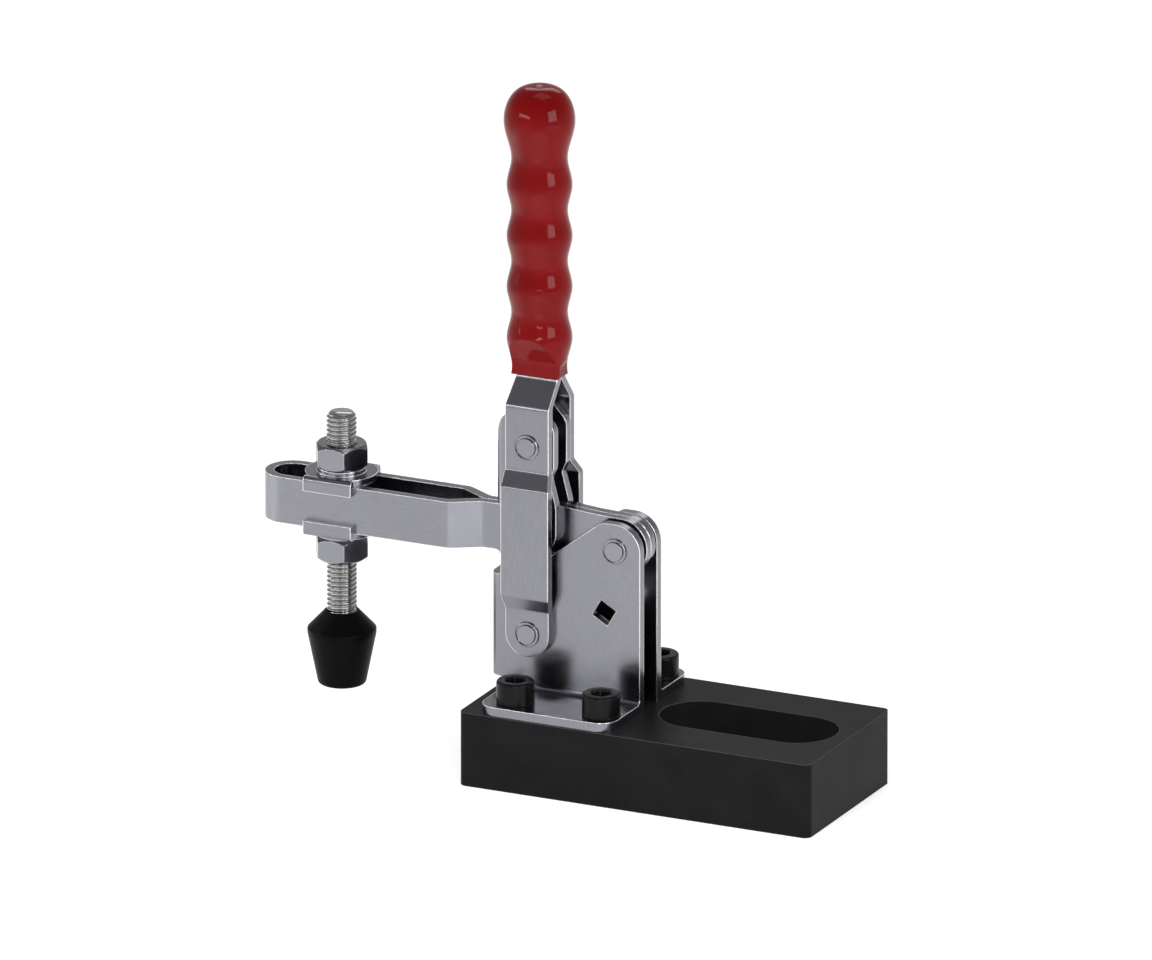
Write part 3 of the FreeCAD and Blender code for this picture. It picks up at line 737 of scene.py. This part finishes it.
@dataclass
class CapScrews:
    """Four socket head screws, one master set on the corners of a rectangle."""

    head_radius: float = 5.0 * MM
    head_height: float = 6.0 * MM
    shank_radius: float = 3.0 * MM
    end_chamfer: float = 0.4 * MM
    seat_chamfer: float = 0.2 * MM
    rim: float = 0.7 * MM
    rim_steps: int = 6
    socket_flats: float = 5.0 * MM
    socket_depth: float = 3.2 * MM
    socket_chamfer: float = 0.35 * MM
    drill_point: float = 0.6 * MM
    sides: int = 72
    smooth_below: float = 35.0

    def outside(self, length: float) -> list[Point]:
        """Profile from the shank's end up to the rounded rim of the head.

        Args:
            length: the shank's length.

        Returns:
            (radius, height) points, with the head's seat at height zero.
        """
        quarter = [step * FULL_TURN / 4 / self.rim_steps for step in range(self.rim_steps + 1)]
        inset, top = self.head_radius - self.rim, self.head_height - self.rim
        return [
            (0.0, -length),
            (self.shank_radius - self.end_chamfer, -length),
            (self.shank_radius, self.end_chamfer - length),
            (self.shank_radius, 0.0),
            (self.head_radius - self.seat_chamfer, 0.0),
            (self.head_radius, self.seat_chamfer),
            *((inset + self.rim * math.cos(t), top + self.rim * math.sin(t)) for t in quarter),
        ]

    def master(self, material: bpy.types.Material, length: float) -> bpy.types.Object:
        """Make one screw with its head's seat at the origin.

        Args:
            material: the screw's finish.
            length: the shank's length.

        Returns:
            The screw, not shown by itself.
        """
        shell = RingShell(self.sides, lambda across, aside, height: Vector((across, aside, height)))
        shell.turn(self.outside(length))
        socket = [hexagon_wall(self.socket_flats, angle) for angle in shell.angles]
        shell.level([wall + self.socket_chamfer for wall in socket], self.head_height)
        shell.level(socket, self.head_height - self.socket_chamfer)
        shell.level(socket, self.head_height - self.socket_depth)
        shell.turn([(0.0, self.head_height - self.socket_depth - self.drill_point)])
        return new_piece("screw_master", shell.mesh("screw_master", self.smooth_below), material)

    def set_out(self, shape: NodeShape, screw: bpy.types.Object) -> bpy.types.NodeSocket:
        """Stand a copy of the master on each corner of the rectangle.

        Args:
            shape: the geometry group.
            screw: the master.

        Returns:
            The geometry socket of the four screws.
        """
        nodes = shape.nodes
        grid = nodes.add("GeometryNodeMeshGrid")
        grid.inputs["Vertices X"].default_value = 2
        grid.inputs["Vertices Y"].default_value = 2
        nodes.wire(shape.number("Spacing X"), grid.inputs["Size X"])
        nodes.wire(shape.number("Spacing Y"), grid.inputs["Size Y"])
        source = nodes.add("GeometryNodeObjectInfo")
        source.inputs["Object"].default_value = screw
        stand = nodes.add("GeometryNodeInstanceOnPoints")
        nodes.wire(grid.outputs["Mesh"], stand.inputs["Points"])
        nodes.wire(source.outputs["Geometry"], stand.inputs["Instance"])
        place = nodes.add("ShaderNodeCombineXYZ")
        nodes.wire(shape.number("Centre X"), place.inputs["X"])
        nodes.wire(shape.number("Seat Z"), place.inputs["Z"])
        carry = nodes.add("GeometryNodeTransform")
        nodes.wire(stand.outputs["Instances"], carry.inputs["Geometry"])
        nodes.wire(place.outputs[0], carry.inputs["Translation"])
        return carry.outputs["Geometry"]

    def build(self, material: bpy.types.Material) -> bpy.types.Object:
        """Make the four screws in the space of their CAD node.

        Args:
            material: the screws' finish.

        Returns:
            The finished piece.
        """
        low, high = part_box("cap_screws")
        seat = high.z - self.head_height
        numbers = {
            "Spacing X": high.x - low.x - 2 * self.head_radius,
            "Spacing Y": high.y - low.y - 2 * self.head_radius,
            "Centre X": (low.x + high.x) / 2,
            "Seat Z": seat,
        }
        shape = NodeShape("screws_on_corners", numbers)
        screw = self.master(material, seat - low.z)
        shape.close(self.set_out(shape, screw), material)
        piece = shape.piece("socket_screws", material)
        bpy.data.objects.remove(screw)
        smooth_by_angle(piece.data, self.smooth_below)
        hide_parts("cap_screws")
        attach(piece, "base")
        LOG.info("socket screws, %d points", len(piece.data.vertices))
        return piece


@dataclass
class HexNuts:
    """The two nuts, with chamfered corners and a countersunk hole."""

    flats: float = 13.0 * MM
    hole: float = 3.9 * MM
    sink: float = 0.5 * MM
    chamfer_start: float = 0.94
    chamfer_slope: float = 0.84
    sides: int = 72
    smooth_below: float = 25.0

    def shell(self, centre: Vector, bottom: float, top: float) -> RingShell:
        """Stack the nut's rings from its bore's foot, round the outside, to its bore's top.

        Args:
            centre: the nut's centre.
            bottom: the height of its lower face.
            top: the height of its upper face.

        Returns:
            The shell, not yet stitched.
        """
        shell = RingShell(self.sides, lambda x, y, z: Vector((centre.x + x, centre.y + y, z)))
        start = self.flats / 2 * self.chamfer_start
        walls = [hexagon_wall(self.flats, angle) for angle in shell.angles]
        drops = [(wall - start) * self.chamfer_slope for wall in walls]
        shell.turn([(self.hole, bottom + self.sink), (self.hole + self.sink, bottom), (start, bottom)])
        shell.ring(walls, [bottom + drop for drop in drops])
        shell.ring(walls, [top - drop for drop in drops])
        shell.turn([(start, top), (self.hole + self.sink, top), (self.hole, top - self.sink)])
        return shell

    def nut(self, node: str, material: bpy.types.Material) -> bpy.types.Object:
        """Make one nut in the space of its CAD node.

        Args:
            node: the CAD node's name.
            material: the nut's finish.

        Returns:
            The finished piece.
        """
        low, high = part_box(node)
        name = node + "_hex"
        shell = self.shell((low + high) / 2, low.z, high.z)
        piece = new_piece(name, shell.mesh(name, self.smooth_below, looped=True), material)
        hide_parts(node)
        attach(piece, "spindle_set")
        LOG.info("nut for %s", node)
        return piece

    def build(self, material: bpy.types.Material) -> list[bpy.types.Object]:
        """Make both nuts."""
        return [self.nut(node, material) for node in ("upper_nut", "lower_nut")]


@dataclass
class Rivets:
    """The three headed rivets, each with a ring groove near its rim."""

    shank_radius: float = 3.0 * MM
    head_radius: float = 3.4 * MM
    head_height: float = 0.6 * MM
    rim_width: float = 0.28 * MM
    rim_drop: float = 0.10 * MM
    groove_width: float = 0.55 * MM
    groove_depth: float = 0.55 * MM
    slant: float = 0.06 * MM
    bevel: float = 0.10 * MM
    sides: int = 64
    smooth_below: float = 40.0

    def head(self, face: float) -> list[Point]:
        """Profile of the front head, from its centre over the groove to the shank.

        Args:
            face: the outer face's place along the rivet.

        Returns:
            (radius, place) points.
        """
        rim = self.head_radius
        groove_end = rim - self.rim_width
        crown = groove_end - self.groove_width
        floor, drop = face + self.groove_depth, face + self.rim_drop
        return [
            (0.0, face),
            (crown - self.bevel, face),
            (crown, face + self.bevel),
            (crown + self.slant, floor),
            (groove_end - self.slant, floor),
            (groove_end, drop),
            (rim - self.bevel, drop),
            (rim, drop + self.bevel),
            (rim, face + self.head_height),
            (self.shank_radius, face + self.head_height),
        ]

    def rivet(self, node: str, body: str, material: bpy.types.Material) -> bpy.types.Object:
        """Make one rivet in the space of its CAD node, with two like heads.

        Args:
            node: the CAD node's name.
            body: the body that it goes with.
            material: the rivet's finish.

        Returns:
            The finished piece.
        """
        low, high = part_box(node)
        spot = (low + high) / 2
        front = self.head(low.y)
        name = node + "_rivet"
        shell = RingShell(self.sides, lambda across, aside, y: Vector((spot.x + across, y, spot.z + aside)))
        shell.turn(front + [(radius, -place) for radius, place in reversed(front)])
        piece = new_piece(name, shell.mesh(name, self.smooth_below), material)
        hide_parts(node)
        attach(piece, body)
        LOG.info("rivet for %s", node)
        return piece

    def build(self, material: bpy.types.Material) -> list[bpy.types.Object]:
        """Make the three rivets."""
        return [self.rivet(node, body, material) for node, body in RIVET_BODIES.items()]


@dataclass(frozen=True)
class Lamp:
    """One soft rectangular lamp: its place and size in metres, its power and what it faces."""

    name: str
    place: Triple
    size: Point
    watts: float
    aim: Triple = (-0.03, 0.0, 0.07)

    def build(self) -> None:
        """Add the lamp to the scene."""
        light = bpy.data.lights.new(self.name, "AREA")
        light.shape = "RECTANGLE"
        light.size, light.size_y = self.size
        light.energy = self.watts
        lamp = bpy.data.objects.new(self.name, light)
        lamp.location = self.place
        lamp.rotation_euler = (Vector(self.aim) - lamp.location).to_track_quat("-Z", "Y").to_euler()
        bpy.context.scene.collection.objects.link(lamp)


@dataclass(frozen=True)
class Studio:
    """Pale floor, soft lamps and the camera at the picture's angle."""

    azimuth: float = 25.3
    elevation: float = 18.6
    distance: float = 9.0
    target: Triple = (-0.0281, 0.0, 0.0788)
    pixels_per_metre: float = 3870.0
    picture_width: int = 1152
    sensor: float = 36.0
    farthest: float = 50.0
    floor_half: float = 6.0
    floor_tone: Triple = (0.86, 0.86, 0.86)
    floor_roughness: float = 0.9
    floor_glow: float = 0.5
    surround: float = 0.85
    surround_low: Triple = (0.95, 0.95, 0.96)
    surround_middle: Triple = (0.50, 0.50, 0.51)
    surround_high: Triple = (0.36, 0.36, 0.37)
    middle_height: float = 0.3
    high_height: float = 0.8
    lamps: tuple[Lamp, ...] = (
        Lamp("strip", (-0.48, -0.89, 0.40), (0.7, 0.12), 1.8),
        Lamp("side", (0.95, -0.38, 0.45), (0.55, 0.50), 4.6),
        Lamp("rear", (-0.3, 0.9, 0.75), (0.8, 0.3), 1.6),
        Lamp("top", (0.0, 0.15, 1.1), (0.6, 0.5), 1.2),
        Lamp("floor_right", (0.05, -0.24, 0.14), (0.05, 0.2), 0.35, (0.05, -0.24, 0.0)),
        Lamp("floor_left", (-0.30, -0.10, 0.14), (0.05, 0.2), 0.30, (-0.30, -0.10, 0.0)),
    )

    def floor(self) -> bpy.types.Object:
        """Make the floor, white to the camera and in reflections, with the object's shadow kept.

        Returns:
            The floor.
        """
        half = self.floor_half
        corners = [(-half, -half, 0), (half, -half, 0), (half, half, 0), (-half, half, 0)]
        mesh = bpy.data.meshes.new("floor")
        mesh.from_pydata(corners, [], [(0, 1, 2, 3)])
        finish = Finish("pale_floor")
        finish.set("Base Color", (*self.floor_tone, 1))
        finish.set("Roughness", self.floor_roughness)
        finish.set("Emission Color", (1, 1, 1, 1))
        nodes = finish.nodes
        path = nodes.add("ShaderNodeLightPath")
        mirrored = nodes.math("MAXIMUM", path.outputs["Is Glossy Ray"], path.outputs["Is Transmission Ray"])
        seen = nodes.math("MAXIMUM", path.outputs["Is Camera Ray"], mirrored)
        lift = nodes.math("MULTIPLY", seen, self.floor_glow)
        nodes.wire(lift, finish.shader.inputs["Emission Strength"])
        piece = new_piece("floor", mesh, finish.material)
        return piece

    def sky(self) -> None:
        """Set a pale surround, brighter low down than overhead."""
        world = bpy.data.worlds.new("surround")
        bpy.context.scene.world = world
        world.use_nodes = True
        nodes = NodeTree(world.node_tree)
        background = world.node_tree.nodes["Background"]
        place = nodes.add("ShaderNodeSeparateXYZ")
        nodes.wire(nodes.add("ShaderNodeTexCoord").outputs["Generated"], place.inputs[0])
        ramp = nodes.add("ShaderNodeValToRGB")
        lowest, highest = ramp.color_ramp.elements
        lowest.color = (*self.surround_low, 1)
        highest.position = self.high_height
        highest.color = (*self.surround_high, 1)
        middle = ramp.color_ramp.elements.new(self.middle_height)
        middle.color = (*self.surround_middle, 1)
        nodes.wire(place.outputs["Z"], ramp.inputs["Fac"])
        nodes.wire(ramp.outputs["Color"], background.inputs["Color"])
        background.inputs["Strength"].default_value = self.surround

    def camera(self) -> None:
        """Set the long-lens camera at the picture's angle."""
        turn, rise = math.radians(self.azimuth), math.radians(self.elevation)
        away = Vector((math.sin(turn) * math.cos(rise), -math.cos(turn) * math.cos(rise), math.sin(rise)))
        data = bpy.data.cameras.new("camera")
        data.sensor_width = self.sensor
        data.sensor_fit = "HORIZONTAL"
        data.lens = self.pixels_per_metre * self.distance / self.picture_width * self.sensor
        data.clip_end = self.farthest
        camera = bpy.data.objects.new("camera", data)
        camera.location = Vector(self.target) + away * self.distance
        camera.rotation_euler = (-away).to_track_quat("-Z", "Y").to_euler()
        bpy.context.scene.collection.objects.link(camera)
        bpy.context.scene.camera = camera

    def build(self) -> None:
        """Set up the whole studio."""
        self.floor()
        self.sky()
        for lamp in self.lamps:
            lamp.build()
        self.camera()
        bpy.context.scene.view_settings.view_transform = "Standard"
        LOG.info("studio ready")


def main() -> None:
    """Load the frame, dress it, add the fine pieces and set up the studio."""
    logging.basicConfig(level=logging.INFO, format="%(name)s: %(message)s")
    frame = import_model()
    materials = FinishSet().dress(frame["nodes"])
    for node in frame["nodes"].values():
        LOG.info("%s kept, %d points", node.name, len(node.data.vertices))
    ThreadedSpindle().build(materials["thread"])
    CapScrews().build(materials["screw"])
    HexNuts().build(materials["steel_turned"])
    Rivets().build(materials["rivet"])
    Studio().build()


if __name__ == "__main__":
    main()
